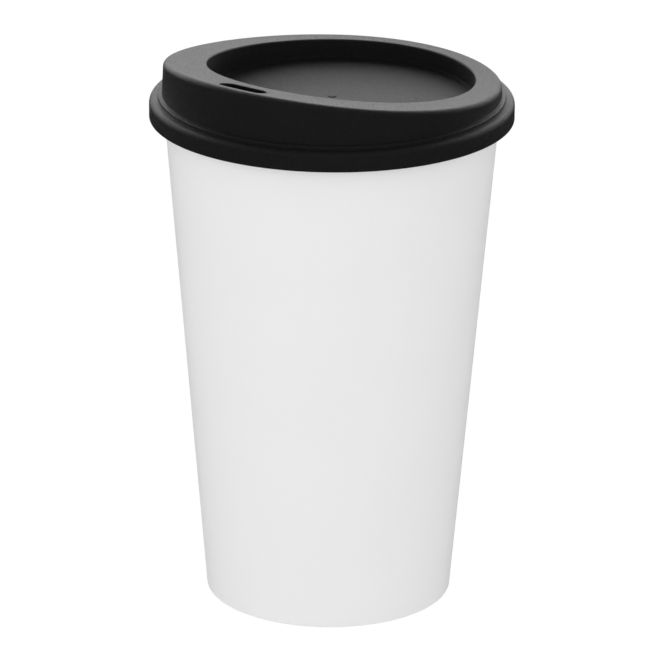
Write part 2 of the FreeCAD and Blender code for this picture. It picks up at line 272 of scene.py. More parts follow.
def bumped(material, height, distance, strength=1.0, under=None):
    """A bump layer of a height in metres, over another one if given."""
    node = material.node_tree.nodes.new("ShaderNodeBump")
    node.inputs["Strength"].default_value = strength
    node.inputs["Distance"].default_value = distance
    links = material.node_tree.links
    links.new(height, node.inputs["Height"])
    if under is not None:
        links.new(under, node.inputs["Normal"])
    return node.outputs["Normal"]


def attribute(material, name):
    """The number that a mesh attribute gives at each point."""
    node = material.node_tree.nodes.new("ShaderNodeAttribute")
    node.attribute_name = name
    return node.outputs["Fac"]


print("material helpers ready")

# %% [markdown]
# ## The board
# Cup board is bleached paper with a clay coat outside and a thin film of plastic inside. Outside it
# is nearly even in colour, with a faint cloudiness and a very fine fibre texture; inside it is
# glossier. Where the board is cut, the bare fibres show a little warmer. One material does all
# three, because two attributes on the mesh, "coated" and "cut", say where each kind of surface is.

# %% Finish for the board
BOARD_WHITES = ((0.848, 0.848, 0.856), (0.862, 0.862, 0.870))
BARE_FIBRES = (0.80, 0.785, 0.75)
OUTSIDE_ROUGHNESS = (0.44, 0.52)
COATED_ROUGHNESS = 0.26
CUT_ROUGHNESS = 0.85
board, board_shader, place = new_finish("white_cup_board")
clouds = noise(board, place, 55, detail=4)
fibres = noise(board, place, 1500, detail=3, roughness=0.6, stretch=(1, 1, 0.45))
cut_here = attribute(board, "cut")
coated_here = attribute(board, "coated")
board_white = mixed(board, clouds, *BOARD_WHITES)
board_colour = mixed(board, cut_here, board_white, BARE_FIBRES)
board_rough = blended(board, coated_here, ranged(board, clouds, *OUTSIDE_ROUGHNESS), COATED_ROUGHNESS)
board_links = board.node_tree.links
board_links.new(board_colour, board_shader.inputs["Base Color"])
board_links.new(blended(board, cut_here, board_rough, CUT_ROUGHNESS), board_shader.inputs["Roughness"])
soft_waves = bumped(board, noise(board, place, 160, detail=2), 0.00006, strength=0.35)
board_links.new(bumped(board, fibres, 0.00002, strength=0.5, under=soft_waves),
                board_shader.inputs["Normal"])
board_shader.inputs["IOR"].default_value = 1.46
board_shader.inputs["Specular IOR Level"].default_value = 0.42
print("finish:", board.name)

# %% [markdown]
# ## The sidewall's section
# A cup's wall is a cone that runs straight into its rolled rim, so the lean of the wall is worked
# out from the tangent to the roll. At the foot the board folds in and up around the flange of the
# bottom. One closed section holds all of it: outer face, roll, inner face and fold.

# %% Work out the lean and draw the section
BOARD = 0.35
BOTTOM_BOARD = 0.30
CURL_R = 1.35
CURL_TURN = 285
TUCK_TOP = 7.0
FOLD_GAP = 0.02
curl_centre = (RIM_R - CURL_R, CUP_HEIGHT - CURL_R)
curl_bore = CURL_R - BOARD
run = curl_centre[0] - BASE_R
LEAN = math.atan(run / curl_centre[1]) - math.asin(curl_bore / math.hypot(run, curl_centre[1]))


def outer_wall(height):
    """Radius of the wall's outside at a height."""
    return BASE_R + height * math.tan(LEAN)


def inside(radius, thickness):
    """A radius brought inwards through a leaning board."""
    return radius - thickness / math.cos(LEAN)


def inner_wall(height):
    """Radius of the wall's inside at a height."""
    return inside(outer_wall(height), BOARD)


WALL_STEPS = 16
TUCK_STEPS = 12
ON_WALL = 5.0
lean_degrees = math.degrees(LEAN)
curl_start = 180 - lean_degrees
curl_end = curl_start - CURL_TURN
roll_bore = arc(curl_centre, curl_bore, curl_start, curl_end, 32)
roll_face = arc(curl_centre, CURL_R, curl_end, curl_start, 40)
fold_width = 2 * BOARD + BOTTOM_BOARD
fold_room = BOTTOM_BOARD + 2 * FOLD_GAP
foot_corner = rounded((BASE_R - 1, 0), (BASE_R, 0), (outer_wall(ON_WALL), ON_WALL), FOOT_ROUND)
fold_corner = rounded((inside(outer_wall(ON_WALL), fold_width), ON_WALL), (inside(BASE_R, fold_width), 0),
                      (BASE_R, 0), FOOT_ROUND)
tuck_face = inside(inner_wall(TUCK_TOP), fold_room)
wall_foot = inner_wall(FLANGE_FOOT)
wall_section = foot_corner[:-1]
wall_section += straight(foot_corner[-1], roll_bore[0], WALL_STEPS)
outer_points = len(wall_section)
wall_section += roll_bore
cut_points = {len(wall_section) - 1, len(wall_section)}
wall_section += roll_face[:-1]
inner_start = len(wall_section)
wall_section += straight(roll_face[-1], (wall_foot, FLANGE_FOOT), WALL_STEPS)
inner_end = len(wall_section)
wall_section.append((wall_foot, FLANGE_FOOT - FOLD_GAP))
wall_section.append((inside(wall_foot, fold_room), FLANGE_FOOT - FOLD_GAP))
cut_points |= {len(wall_section), len(wall_section) + 1}
wall_section.append((tuck_face, TUCK_TOP))
wall_section += straight((inside(tuck_face, BOARD - FOLD_GAP), TUCK_TOP), fold_corner[0], TUCK_STEPS)
wall_section += fold_corner
print("wall leans %.2f degrees; its section has %d points" % (lean_degrees, len(wall_section)))

# %% [markdown]
# ## The side seam
# The blank's two edges lap by 8 mm and are sealed with heat. Outside, the lap shows as a thin cut
# edge on one side and a soft rise on the other; inside it is the other way round. The columns of the
# mesh are spaced one by one round the seam, so that the step is as crisp as a paper edge and the rest
# of the wall stays evenly divided.

# %% Skin the sidewall
SEAM_WIDTH = 8.0
OUTSIDE_STEP = 0.25
INSIDE_STEP = 0.18
CUT_EDGE = 0.04
WALL_COLUMNS = 360
half_seam = SEAM_WIDTH / 2
seam_marks = [-half_seam - CUT_EDGE, -half_seam, -3, -2, -1, 0, 1, 2, 3, half_seam, half_seam + CUT_EDGE]


def ease(value):
    """A soft step from 0 to 1."""
    value = min(max(value, 0), 1)
    return value * value * (3 - 2 * value)


def outside_rise(mark):
    """Height of the lap outside: a soft rise, then the cut edge."""
    return 0 if mark > half_seam else OUTSIDE_STEP * ease((mark + half_seam) / half_seam)


def inside_rise(mark):
    """Height of the lap inside: the cut edge, then a soft fall."""
    return 0 if mark < -half_seam else INSIDE_STEP * ease((half_seam - mark) / half_seam)


wall_points = []
coated = []
cut = []
for index, (radius, height) in enumerate(wall_section):
    clear = seam_marks[-1] / radius
    outer = index < outer_points and height > 0
    inner = inner_start + 1 < index < inner_end - 2
    ring = []
    for mark in seam_marks:
        bump = outside_rise(mark) if outer else 0
        bump -= inside_rise(mark) if inner else 0
        ring.append((math.pi / 2 + mark / radius, radius + bump))
        seam_cut = outer and mark >= half_seam
        cut.append(1.0 if seam_cut or index in cut_points else 0.0)
    for step in range(1, WALL_COLUMNS):
        ring.append((math.pi / 2 + clear + (2 * math.pi - 2 * clear) * step / WALL_COLUMNS, radius))
        cut.append(1.0 if index in cut_points else 0.0)
    wall_points += [(r * math.cos(a), r * math.sin(a), height) for a, r in ring]
    coated += [1.0 if inner_start - len(roll_face) < index < inner_end else 0.0] * len(ring)
wall_around = len(seam_marks) + WALL_COLUMNS - 1
wall_rings = [[k * wall_around + i for i in range(wall_around)] for k in range(len(wall_section))]
sidewall = new_piece("sidewall_plain", wall_points, bands(wall_rings + wall_rings[:1]))
for name, values in (("coated", coated), ("cut", cut)):
    layer = sidewall.data.attributes.new(name, "FLOAT", "POINT")
    layer.data.foreach_set("value", values)
print("sidewall: %d points" % len(wall_points))

# %% [markdown]
# ## Pressed marks in the foot
# A knurled wheel presses the fold, the flange and the wall together, and it leaves a ring of short
# upright marks on the inside of the foot. They repeat evenly and follow a rule, so a Geometry Nodes
# tree makes them: it finds each point's angle round the axis, turns it into a row of soft ridges,
# and moves only the points on the inner face of the fold. Count and depth are inputs of the tree.

# %% Build the knurling tree
MARK_COUNT = 72
MARK_DEPTH = 0.12
MARK_LOW = 1.2
MARK_HIGH = 6.0
MARK_FLOOR = 0.1
FOLD_FACE = BASE_R - 0.85


def math_node(tree, operation, first, second=None, third=None, clamp=False):
    """One Math node; each input is a number or a socket."""
    node = tree.nodes.new("ShaderNodeMath")
    node.operation = operation
    node.use_clamp = clamp
    for socket, value in zip(node.inputs, (first, second, third)):
        if value is None:
            continue
        if isinstance(value, (int, float)):
            socket.default_value = value
        else:
            tree.links.new(value, socket)
    return node.outputs[0]


def tree_with_inputs(name, inputs):
    """A geometry tree and the identifiers of its inputs, each given as label, kind and default."""
    tree = bpy.data.node_groups.new(name, "GeometryNodeTree")
    tree.interface.new_socket("Geometry", in_out="INPUT", socket_type="NodeSocketGeometry")
    identifiers = {}
    for label, kind, value in inputs:
        socket = tree.interface.new_socket(label, in_out="INPUT", socket_type=kind)
        if value is not None:
            socket.default_value = value
        identifiers[label] = socket.identifier
    tree.interface.new_socket("Geometry", in_out="OUTPUT", socket_type="NodeSocketGeometry")
    return tree, identifiers


def end_tree(tree, geometry, start):
    """Ends a tree in Realize Instances and Set Material."""
    realize = tree.nodes.new("GeometryNodeRealizeInstances")
    finish = tree.nodes.new("GeometryNodeSetMaterial")
    end = tree.nodes.new("NodeGroupOutput")
    tree.links.new(geometry, realize.inputs["Geometry"])
    tree.links.new(realize.outputs["Geometry"], finish.inputs["Geometry"])
    tree.links.new(start.outputs["Finish"], finish.inputs["Material"])
    tree.links.new(finish.outputs["Geometry"], end.inputs["Geometry"])


def give_tree(piece, tree, identifiers, values):
    """Adds the tree to a piece and sets its inputs by their identifiers."""
    modifier = piece.modifiers.new(tree.name, "NODES")
    modifier.node_group = tree
    for label, value in values.items():
        modifier[identifiers[label]] = value


knurl, knurl_inputs = tree_with_inputs("PressedMarks", [
    ("Count", "NodeSocketInt", MARK_COUNT),
    ("Depth", "NodeSocketFloat", MARK_DEPTH * MM),
    ("Low", "NodeSocketFloat", MARK_LOW * MM),
    ("High", "NodeSocketFloat", MARK_HIGH * MM),
    ("Foot radius", "NodeSocketFloat", FOLD_FACE * MM),
    ("Finish", "NodeSocketMaterial", None),
])
knurl_in = knurl.nodes.new("NodeGroupInput")
position = knurl.nodes.new("GeometryNodeInputPosition")
parts = knurl.nodes.new("ShaderNodeSeparateXYZ")
knurl.links.new(position.outputs[0], parts.inputs[0])
angle = math_node(knurl, "ARCTAN2", parts.outputs["Y"], parts.outputs["X"])
wave = math_node(knurl, "SINE", math_node(knurl, "MULTIPLY", angle, knurl_in.outputs["Count"]))
press = math_node(knurl, "MULTIPLY_ADD", wave, 1 - MARK_FLOOR, MARK_FLOOR, clamp=True)
x_squared = math_node(knurl, "MULTIPLY", parts.outputs["X"], parts.outputs["X"])
y_squared = math_node(knurl, "MULTIPLY", parts.outputs["Y"], parts.outputs["Y"])
squares = math_node(knurl, "ADD", x_squared, y_squared)
spread = math_node(knurl, "SQRT", squares)
above = math_node(knurl, "GREATER_THAN", parts.outputs["Z"], knurl_in.outputs["Low"])
below = math_node(knurl, "LESS_THAN", parts.outputs["Z"], knurl_in.outputs["High"])
limit = math_node(knurl, "MULTIPLY_ADD", parts.outputs["Z"], math.tan(LEAN),
                  knurl_in.outputs["Foot radius"])
near = math_node(knurl, "LESS_THAN", spread, limit)
chosen = math_node(knurl, "MULTIPLY", math_node(knurl, "MULTIPLY", above, below), near)
amount = math_node(knurl, "MULTIPLY", math_node(knurl, "MULTIPLY", press, chosen),
                   knurl_in.outputs["Depth"])
flat = knurl.nodes.new("ShaderNodeVectorMath")
flat.operation = "MULTIPLY"
flat.inputs[1].default_value = (1, 1, 0)
knurl.links.new(position.outputs[0], flat.inputs[0])
outward = knurl.nodes.new("ShaderNodeVectorMath")
outward.operation = "NORMALIZE"
knurl.links.new(flat.outputs[0], outward.inputs[0])
shift = knurl.nodes.new("ShaderNodeVectorMath")
shift.operation = "SCALE"
knurl.links.new(outward.outputs[0], shift.inputs[0])
knurl.links.new(amount, shift.inputs["Scale"])
moved = knurl.nodes.new("GeometryNodeSetPosition")
knurl.links.new(knurl_in.outputs["Geometry"], moved.inputs["Geometry"])
knurl.links.new(shift.outputs[0], moved.inputs["Offset"])
end_tree(knurl, moved.outputs["Geometry"], knurl_in)
give_tree(sidewall, knurl, knurl_inputs, {"Count": MARK_COUNT, "Depth": MARK_DEPTH * MM, "Finish": board})
sidewall.name = "cup_sidewall_board"
sidewall = plain_mesh(sidewall)
finish_mesh(sidewall.data)
even_normals(sidewall)

# %% [markdown]
# ## The bottom, turned by Geometry Nodes
# The bottom is a disc whose edge is turned down. A shape that only follows a section round an axis
# suits Geometry Nodes well: the section is a curve, a circle is the path, and Curve to Mesh sweeps
# one along the other. The section is drawn from its own circle outwards, because the sweep places it
# on the path, and points that meet on the axis are merged so that the poles are closed.

# %% Build the turning tree
PATH_R = 10.0
TURN_COLUMNS = 240
POLE_MERGE = 0.002
turn, turn_inputs = tree_with_inputs("TurnSection", [
    ("Columns", "NodeSocketInt", TURN_COLUMNS),
    ("Path radius", "NodeSocketFloat", PATH_R * MM),
    ("Finish", "NodeSocketMaterial", None),
])
turn_in = turn.nodes.new("NodeGroupInput")
profile = turn.nodes.new("GeometryNodeMeshToCurve")
circle = turn.nodes.new("GeometryNodeCurvePrimitiveCircle")
sweep = turn.nodes.new("GeometryNodeCurveToMesh")
merge = turn.nodes.new("GeometryNodeMergeByDistance")
merge.inputs["Distance"].default_value = POLE_MERGE * MM
turn.links.new(turn_in.outputs["Geometry"], profile.inputs["Mesh"])
turn.links.new(turn_in.outputs["Columns"], circle.inputs["Resolution"])
turn.links.new(turn_in.outputs["Path radius"], circle.inputs["Radius"])
turn.links.new(circle.outputs["Curve"], sweep.inputs["Curve"])
turn.links.new(profile.outputs["Curve"], sweep.inputs["Profile Curve"])
turn.links.new(sweep.outputs["Mesh"], merge.inputs["Geometry"])
end_tree(turn, merge.outputs["Geometry"], turn_in)


def turned(name, section, finish):
    """Turns a half section round the Z axis with the tree."""
    mesh = bpy.data.meshes.new(name)
    points = [((x - PATH_R) * MM, -z * MM, 0) for x, z in section]
    mesh.from_pydata(points, [(i, i + 1) for i in range(len(points) - 1)], [])
    piece = linked(name, mesh)
    give_tree(piece, turn, turn_inputs, {
        "Columns": TURN_COLUMNS, "Path radius": PATH_R * MM, "Finish": finish})
    piece = plain_mesh(piece)
    finish_mesh(piece.data)
    return piece


# %% Turn the bottom
BOTTOM_BEND = 0.6
FLAT_RADII = (0, 10, 22, 29)
BEND_FROM = 30.5
bottom_under = BOTTOM_TOP - BOTTOM_BOARD
flange_out = inner_wall(FLANGE_FOOT) - FOLD_GAP
edge_out = inner_wall(BOTTOM_TOP) - FOLD_GAP
flange_in = inside(flange_out, BOTTOM_BOARD)
edge_in = inside(inner_wall(bottom_under) - FOLD_GAP, BOTTOM_BOARD)
bottom_section = [(radius, BOTTOM_TOP) for radius in FLAT_RADII]
bottom_section += softened([
    (BEND_FROM, BOTTOM_TOP, 0),
    (edge_out, BOTTOM_TOP, BOTTOM_BEND),
    (flange_out, FLANGE_FOOT, 0),
    (flange_in, FLANGE_FOOT, 0),
    (edge_in, bottom_under, BOTTOM_BEND - BOTTOM_BOARD),
    (BEND_FROM, bottom_under, 0),
], steps=6)
bottom_section += [(radius, bottom_under) for radius in reversed(FLAT_RADII)]
bottom = turned("cup_bottom_board", bottom_section, board)
even_normals(bottom)

# %% [markdown]
# ## The lid: where its surfaces are
# The lid is one moulding, so it is one closed skin. Its skirt, brim, step and dome wall are turned
# about the cup's axis. Its top is part of a long cylinder, level at the back and rising to the sip
# slot, and its round recess has an axis of its own, nearer the back. The helpers below give the
# height of the arched top and of its underside anywhere, and the radius of each leaning wall at any
# height.

# %% Sizes of the lid
LID_WALL = 0.9
DOME_R = RIM_R - 2 * CURL_R + 0.75
DOME_FOOT = CUP_HEIGHT + 1.9
DOME_DRAFT = math.tan(math.radians(2.6))
ARCH_R = 420
ARCH_LOW = CUP_HEIGHT + 4.4
RECESS_R = DOME_R - 9.3
RECESS_Y = 4.0
RECESS_FLOOR = CUP_HEIGHT - 0.3
RECESS_DRAFT = math.tan(math.radians(1.5))
BORE_FOOT = CUP_HEIGHT + 1.1


def arch(y, wall=0):
    """Height of the arched top, or of its underside, at a distance towards the back."""
    return ARCH_LOW + ARCH_R - math.sqrt((ARCH_R + wall) ** 2 - (y - DOME_R) ** 2)


def settle(radius_at, height_at):
    """Where a nearly upright wall meets the arched surface, found by repeating three times."""
    height = height_at(radius_at(CUP_HEIGHT))
    for _ in range(3):
        radius = radius_at(height)
        height = height_at(radius)
    return radius, height


def dome_wall(z):
    """Radius of the dome's outside at a height."""
    return DOME_R - (z - DOME_FOOT) * DOME_DRAFT


def dome_bore(z):
    """Radius of the dome's inside at a height."""
    return DOME_R - LID_WALL - (z - BORE_FOOT) * DOME_DRAFT


def recess_wall(z):
    """Radius of the recess at a height, from its own axis."""
    return RECESS_R + (z - RECESS_FLOOR) * RECESS_DRAFT


def recess_back(z):
    """Radius of the recess's hidden side at a height, from its own axis."""
    return RECESS_R + LID_WALL + (z - RECESS_FLOOR + LID_WALL) * RECESS_DRAFT


print("arched top from %.2f to %.2f mm; frame says %.2f" % (
    arch(DOME_R), arch(-dome_wall(LID_TOP)), LID_TOP))

# %% [markdown]
# ## The lid's turned part
# From the dome's bore the section runs down the plug that seals inside the mouth, up into the
# channel that takes the rolled rim, over the small bead that snaps under the rim, round the skirt's
# lower edge, and up the stepped brim to the dome wall.

# %% Section of plug, channel, bead, skirt and brim
PLUG_GAP = 0.2
BEAD_R = 0.8
BRIM_ROUND = 1.5
plug_foot = CUP_HEIGHT - 3.2
plug_face_top = inner_wall(CUP_HEIGHT) - PLUG_GAP
plug_face_foot = inner_wall(plug_foot) - PLUG_GAP
plug_bore = plug_face_foot - LID_WALL
skirt_bore = BRIM_R - LID_WALL
bead_centre = (RIM_R + 0.9, CUP_HEIGHT - 2 * CURL_R - 0.2)
bead_reach = math.degrees(math.acos((bead_centre[0] - skirt_bore) / BEAD_R))
step_r = BRIM_R - 2.25
lower_part = softened([
    (dome_bore(CUP_HEIGHT + 2.4), CUP_HEIGHT + 2.4, 0),
    (dome_bore(BORE_FOOT), BORE_FOOT, 0.4),
    (plug_bore, CUP_HEIGHT, 0.4),
    (plug_bore, plug_foot, 0.25),
    (plug_face_foot, plug_foot, 0.25),
    (plug_face_top, CUP_HEIGHT, 0.3),
    (skirt_bore, CUP_HEIGHT, 1.2),
    (skirt_bore, CUP_HEIGHT - 1.6, 0),
])
bead = arc(bead_centre, BEAD_R, 180 - bead_reach, 180 + bead_reach, 10)
upper_part = softened([
    (skirt_bore, SKIRT_BOTTOM + 0.45, 0),
    (skirt_bore, SKIRT_BOTTOM + 0.35, 0),
    (skirt_bore + 0.35, SKIRT_BOTTOM, 0.08),
    (BRIM_R, SKIRT_BOTTOM, 0.12),
    (BRIM_R, CUP_HEIGHT + 0.72, BRIM_ROUND),
    (step_r, CUP_HEIGHT + 0.85, 0.15),
    (step_r, CUP_HEIGHT + 1.75, 0.4),
    (DOME_R, DOME_FOOT, 0.2),
    (dome_wall(DOME_FOOT + 0.8), DOME_FOOT + 0.8, 0),
], steps=5)
turned_part = lower_part + bead + upper_part
print("turned part of the lid: %d points" % len(turned_part))

# %% [markdown]
# ## The lid's columns
# Each column of the skin is the section at one angle, and it changes slowly round the lid because
# the top slopes. Columns are three times closer at the front, where the slot is cut. The corners
# between the top and the two walls are rounded in each column's own plane, which is how a rolling
# ball would round them.

# %% Points of one column
TOP_STEPS = 26
UNDER_RINGS = (8, 16, 24, 32)
FLOOR_RINGS = (32, 26, 20, 13, 7)
UNDER_STEPS = 4
SHOULDER_ROUND = 1.25
SHOULDER_STEPS = 8
LIP_ROUND = 0.5
LIP_STEPS = 7
FLOOR_ROUND = 0.25
FLOOR_STEPS = 6
ALONG = 2
GATE = (-2.2, 3.1)
GATE_R = 1.1
GATE_H = 0.15
GATE_FILLET = 0.04
GATE_BEVEL = 0.06
ROOF_START = len(UNDER_RINGS) + 2 * (UNDER_STEPS + 1) - 1


def placed(section, c, s, y=0):
    """Points of a section, at the angle of cosine c and sine s, round an axis that stands at y."""
    return [(r * c, y + r * s, z) for r, z in section]


def arched_run(start, end, wall=0):
    """Points on the arched surface between two plan points, without the two."""
    places = [start.lerp(end, k / TOP_STEPS) for k in range(1, TOP_STEPS)]
    return [(at.x, at.y, arch(at.y, wall)) for at in places]


def column(a):
    """All points of the lid's section at an angle, from the underside's middle to the floor's middle."""
    c, s = math.cos(a), math.sin(a)
    floor_under = RECESS_FLOOR - LID_WALL
    back_r, back_z = settle(recess_back, lambda r: arch(RECESS_Y + r * s, LID_WALL))
    bore_r, bore_z = settle(dome_bore, lambda r: arch(r * s, LID_WALL))
    dome_r, dome_z = settle(dome_wall, lambda r: arch(r * s))
    edge_r, edge_z = settle(recess_wall, lambda r: arch(RECESS_Y + r * s))
    points = placed([(r, floor_under) for r in UNDER_RINGS], c, s, RECESS_Y)
    under = rounded((UNDER_RINGS[-1] + 1, floor_under), (recess_back(floor_under), floor_under),
                    (back_r, back_z), 0.5, UNDER_STEPS)
    under += rounded((recess_back(floor_under), floor_under), (back_r, back_z),
                     (back_r + 1.5, arch(RECESS_Y + (back_r + 1.5) * s, LID_WALL)), 0.4, UNDER_STEPS)
    points += placed(under, c, s, RECESS_Y)
    roof_from = Vector(points[-1][:2])
    corner = rounded((bore_r - ALONG, arch((bore_r - ALONG) * s, LID_WALL)), (bore_r, bore_z),
                     (dome_bore(bore_z - ALONG), bore_z - ALONG), 0.4, UNDER_STEPS)
    roof_to = Vector((corner[0][0] * c, corner[0][0] * s))
    points += arched_run(roof_from, roof_to, LID_WALL)
    points += placed(corner, c, s)
    points += placed(turned_part, c, s)
    shoulder = rounded((dome_wall(dome_z - ALONG), dome_z - ALONG), (dome_r, dome_z),
                       (dome_r - ALONG, arch((dome_r - ALONG) * s)), SHOULDER_ROUND, SHOULDER_STEPS)
    points += placed(shoulder, c, s)
    lip = rounded((edge_r + ALONG, arch(RECESS_Y + (edge_r + ALONG) * s)), (edge_r, edge_z),
                  (recess_wall(edge_z - ALONG), edge_z - ALONG), LIP_ROUND, LIP_STEPS)
    top_from = Vector((shoulder[-1][0] * c, shoulder[-1][0] * s))
    top_to = Vector((lip[0][0] * c, RECESS_Y + lip[0][0] * s))
    points += arched_run(top_from, top_to)
    points += placed(lip, c, s, RECESS_Y)
    foot = rounded((recess_wall(RECESS_FLOOR + ALONG), RECESS_FLOOR + ALONG), (RECESS_R, RECESS_FLOOR),
                   (RECESS_R - ALONG, RECESS_FLOOR), FLOOR_ROUND, FLOOR_STEPS)
    points += placed(foot, c, s, RECESS_Y)
    for r in FLOOR_RINGS:
        t = (FLOOR_RINGS[0] - r) / (FLOOR_RINGS[0] - GATE_R)
        points.append((GATE[0] * t + r * c, RECESS_Y + (GATE[1] - RECESS_Y) * t + r * s, RECESS_FLOOR))
    gate_mark = [(GATE_R + GATE_FILLET, 0), (GATE_R, GATE_FILLET),
                 (GATE_R, GATE_H - GATE_BEVEL), (GATE_R - GATE_BEVEL, GATE_H)]
    points += [(GATE[0] + r * c, GATE[1] + r * s, RECESS_FLOOR + z) for r, z in gate_mark]
    return points


FINE = 0.5
COARSE = 1.5
FRONT = 12
front_columns = [-90 - FRONT + FINE * i for i in range(int(2 * FRONT / FINE))]
other_columns = [-90 + FRONT + COARSE * i for i in range(int((360 - 2 * FRONT) / COARSE))]
lid_angles = front_columns + other_columns
columns = [column(math.radians(a)) for a in lid_angles]
ring_count = len(columns[0])
print("lid: %d columns of %d points" % (len(columns), ring_count))

# %% [markdown]
# ## The sip slot
# The slot is cut straight down through the arched top. In the mesh a window of cells is left out of
# the top and of its underside, and both windows are joined to the slot's outline by rings that
# change shape step by step. That keeps the top smooth right up to the slot and gives the slot its
# small rounded edges, which a Boolean would not.

# %% Skin the lid and join the slot
WINDOW = range(3, 19)
WINDOW_HALF = 23
SLOT_INSET = 3.0
SLOT_LENGTH = 13.5
SLOT_R = 2.9
SLOT_Y = -(DOME_R - SLOT_INSET - SLOT_R)
SLOT_HALF = SLOT_LENGTH / 2 - SLOT_R
SLOT_EDGE = 0.22
middle_column = int(FRONT / FINE)
top_start = ROOF_START + TOP_STEPS + UNDER_STEPS + len(turned_part) + SHOULDER_STEPS + 1
lid_points = [columns[i][k] for k in range(ring_count) for i in range(len(columns))]
around = len(columns)


def number(k, i):
    """Point number in ring k and column i."""
    return k * around + i


def top_ring(step):
    """Ring number on the top, counted in steps from the dome's edge."""
    return top_start + step


def roof_ring(step):
    """Ring number on the underside, counted in steps from the dome's bore."""
    return ROOF_START - 1 + TOP_STEPS - step


def window_border(ring_of):
    """Point numbers round the window, the same way round for the top and the underside."""
    left = middle_column - WINDOW_HALF
    right = middle_column + WINDOW_HALF
    near_side = [number(ring_of(WINDOW.start), i) for i in range(left, right)]
    right_side = [number(ring_of(k), right) for k in range(WINDOW.start, WINDOW.stop)]
    far_side = [number(ring_of(WINDOW.stop), i) for i in range(right, left, -1)]
    left_side = [number(ring_of(k), left) for k in range(WINDOW.stop, WINDOW.start, -1)]
    return near_side + right_side + far_side + left_side


def slot_outline(x, y, grow):
    """The nearest point of the slot's outline, moved outwards by grow."""
    along = min(max(x, -SLOT_HALF), SLOT_HALF)
    spoke = Vector((x - along, y - SLOT_Y)).normalized() * (SLOT_R + grow)
    return along + spoke.x, SLOT_Y + spoke.y


open_cells = set()
for step in WINDOW:
    for i in range(middle_column - WINDOW_HALF, middle_column + WINDOW_HALF):
        open_cells.add((top_ring(step), i))
        open_cells.add((roof_ring(step) - 1, i))
lid_faces = []
for k in range(ring_count - 1):
    for i in range(around):
        if (k, i) not in open_cells:
            j = (i + 1) % around
            lid_faces.append((number(k, i), number(k, j), number(k + 1, j), number(k + 1, i)))

top_border = window_border(top_ring)
roof_border = window_border(roof_ring)
slot_rings = [top_border]


def add_ring(points):
    """Adds new points to the lid as the next ring of the slot."""
    slot_rings.append(list(range(len(lid_points), len(lid_points) + len(points))))
    lid_points.extend(points)


def morph(border, share, wall):
    """A ring part of the way from the window's border to the slot's rounded edge."""
    ring = []
    for n in border:
        x, y, _ = lid_points[n]
        to_x, to_y = slot_outline(x, y, SLOT_EDGE)
        x += (to_x - x) * share
        y += (to_y - y) * share
        ring.append((x, y, arch(y, wall)))
    return ring


def slot_wall(border, grow, drop, wall):
    """A ring of the slot's rounded edge or straight side."""
    ring = []
    for n in border:
        x, y = slot_outline(lid_points[n][0], lid_points[n][1], grow)
        ring.append((x, y, arch(y, wall) + drop))
    return ring


for share in (0.3, 0.6, 0.85, 1.0):
    add_ring(morph(top_border, share, 0))
for turn_by in (22.5, 45, 67.5, 90):
    bend = math.radians(turn_by)
    add_ring(slot_wall(top_border, SLOT_EDGE * (1 - math.sin(bend)), -SLOT_EDGE * (1 - math.cos(bend)), 0))
for turn_by in (90, 60, 30):
    bend = math.radians(turn_by)
    add_ring(slot_wall(roof_border, SLOT_EDGE * (1 - math.sin(bend)), SLOT_EDGE * (1 - math.cos(bend)),
                       LID_WALL))
for share in (1.0, 0.7, 0.35):
    add_ring(morph(roof_border, share, LID_WALL))
slot_rings.append(roof_border)
lid_faces += bands(slot_rings)
under_pole = len(lid_points)
lid_points.append((0, RECESS_Y, RECESS_FLOOR - LID_WALL))
gate_pole = len(lid_points)
lid_points.append((GATE[0], GATE[1], RECESS_FLOOR + GATE_H))
last = ring_count - 1
for i in range(around):
    j = (i + 1) % around
    lid_faces.append((under_pole, number(0, j), number(0, i)))
    lid_faces.append((gate_pole, number(last, i), number(last, j)))
lid = new_piece("sip_lid", lid_points, lid_faces)
finish_mesh(lid.data)
even_normals(lid)

# %% [markdown]
# ## The lid's plastic
# The lid is injection moulded in black, with a fine matt grain from the mould outside. Such a
# surface looks deep black face on and turns grey at a glancing angle, where it mirrors its bright
# surroundings softly. That comes from the shader itself: a nearly black base, a roughness that
# varies with the grain and a very fine bump. The grain is finer than a millimetre, so it reads as a
# soft sheen.

# %% Finish for the lid
PLASTIC_BLACKS = ((0.0072, 0.0072, 0.0073), (0.0084, 0.0084, 0.0086))
GRAIN_MIDDLE = (0.35, 0.65)
PLASTIC_ROUGHNESS = (0.27, 0.49)
plastic, plastic_shader, place = new_finish("matt_black_plastic")
grain = noise(plastic, place, 2600, detail=4, roughness=0.65)
drift = noise(plastic, place, 70, detail=3)
plastic_links = plastic.node_tree.links
plastic_links.new(mixed(plastic, drift, *PLASTIC_BLACKS), plastic_shader.inputs["Base Color"])
plastic_links.new(ranged(plastic, grain, *PLASTIC_ROUGHNESS, *GRAIN_MIDDLE),
                  plastic_shader.inputs["Roughness"])
broad = bumped(plastic, drift, 0.00015, strength=0.08)
plastic_links.new(bumped(plastic, grain, 0.00025, strength=1.0, under=broad),
                  plastic_shader.inputs["Normal"])
plastic_shader.inputs["IOR"].default_value = 1.52
plastic_shader.inputs["Specular IOR Level"].default_value = 0.62
lid.data.materials.append(plastic)
print("finish:", plastic.name)

# %% [markdown]
# ## Bodies and nodes
# Each dressed piece rides on the body of the solid that it stands for, so the lid lifts off as one.
# The solid stays behind it for collisions.

# %% Tie the pieces to the frame
for piece, body, node, slot in (
        (sidewall, "cup", "cup_sidewall", "paper_white"),
        (bottom, "cup", "cup_bottom", "paper_white"),
        (lid, "lid", "lid", "plastic_black")):
    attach(piece, body)
    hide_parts(node)
    print(piece.name, "rides on", body, "for", node)

